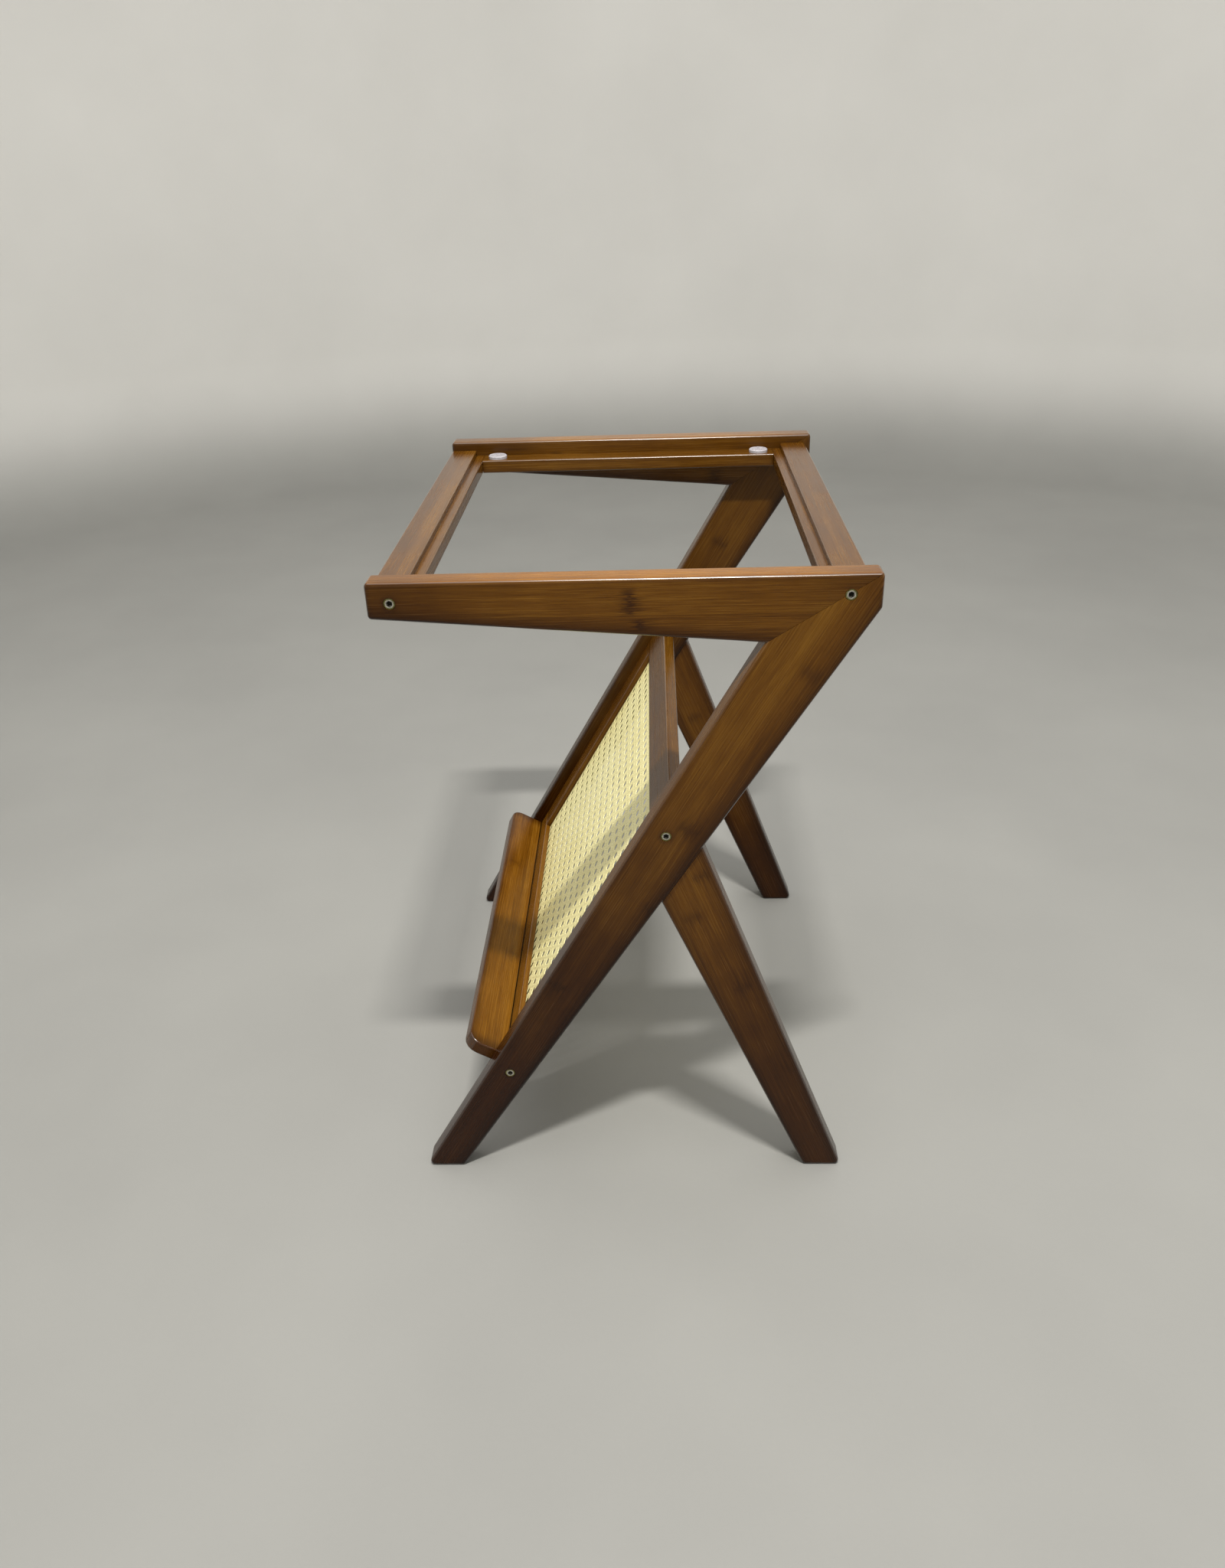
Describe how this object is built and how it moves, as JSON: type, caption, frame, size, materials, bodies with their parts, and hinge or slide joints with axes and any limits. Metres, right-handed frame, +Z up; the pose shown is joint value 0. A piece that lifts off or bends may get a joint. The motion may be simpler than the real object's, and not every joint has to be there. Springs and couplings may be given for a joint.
{
  "type": "side table",
  "caption": "Rigid Z-profile bamboo side table with a recessed seat for a glass top and a sloping magazine rack with a lattice back and shelf between its diagonal legs.",
  "frame": {"origin": "on the floor under the middle of the table's overall length and width", "axes": "+Z up; +X from the rack side (front) to the back, along the top arms; +Y to the table's left side, across from one side frame to the other"},
  "size_m": [0.3666, 0.44, 0.55],
  "materials": {
    "stained_bamboo": "walnut-stained laminated bamboo under satin lacquer",
    "lattice": "ivory moulded lattice, satin",
    "zinc": "zinc plated with a faint yellow passivate",
    "bare_wood": "unfinished beech dowel",
    "clear_bumper": "milky clear silicone"
  },
  "bodies": {
    "root": {"arm_left": "stained_bamboo", "arm_right": "stained_bamboo", "cross_rail_front": "stained_bamboo", "cross_rail_rear": "stained_bamboo", "diagonal_leg_left": "stained_bamboo", "diagonal_leg_right": "stained_bamboo", "dowel_butt_left_1": "bare_wood", "dowel_butt_left_2": "bare_wood", "dowel_butt_right_1": "bare_wood", "dowel_butt_right_2": "bare_wood", "dowel_front_rail_left": "bare_wood", "dowel_front_rail_right": "bare_wood", "dowel_mitre_left_1": "bare_wood", "dowel_mitre_left_2": "bare_wood", "dowel_mitre_right_1": "bare_wood", "dowel_mitre_right_2": "bare_wood", "dowel_rear_rail_left": "bare_wood", "dowel_rear_rail_right": "bare_wood", "glass_bumper_front_left": "clear_bumper", "glass_bumper_front_right": "clear_bumper", "glass_bumper_rear_left": "clear_bumper", "glass_bumper_rear_right": "clear_bumper", "ledge_strip_left": "stained_bamboo", "ledge_strip_right": "stained_bamboo", "rack_bottom_rail": "stained_bamboo", "rack_lattice_sheet": "lattice", "rack_shelf": "stained_bamboo", "rack_stile_left": "stained_bamboo", "rack_stile_right": "stained_bamboo", "rack_top_rail": "stained_bamboo", "rear_leg_left": "stained_bamboo", "rear_leg_right": "stained_bamboo", "screw_front_rail_left": "zinc", "screw_front_rail_right": "zinc", "screw_rack_bottom_left": "zinc", "screw_rack_bottom_right": "zinc", "screw_rack_top_left": "zinc", "screw_rack_top_right": "zinc", "screw_rear_rail_left": "zinc", "screw_rear_rail_right": "zinc", "sheet_bead_bottom": "stained_bamboo", "sheet_bead_left": "stained_bamboo", "sheet_bead_right": "stained_bamboo", "sheet_bead_top": "stained_bamboo", "shelf_screw_1": "zinc", "shelf_screw_2": "zinc", "shelf_screw_3": "zinc"}
  },
  "joints": []
}
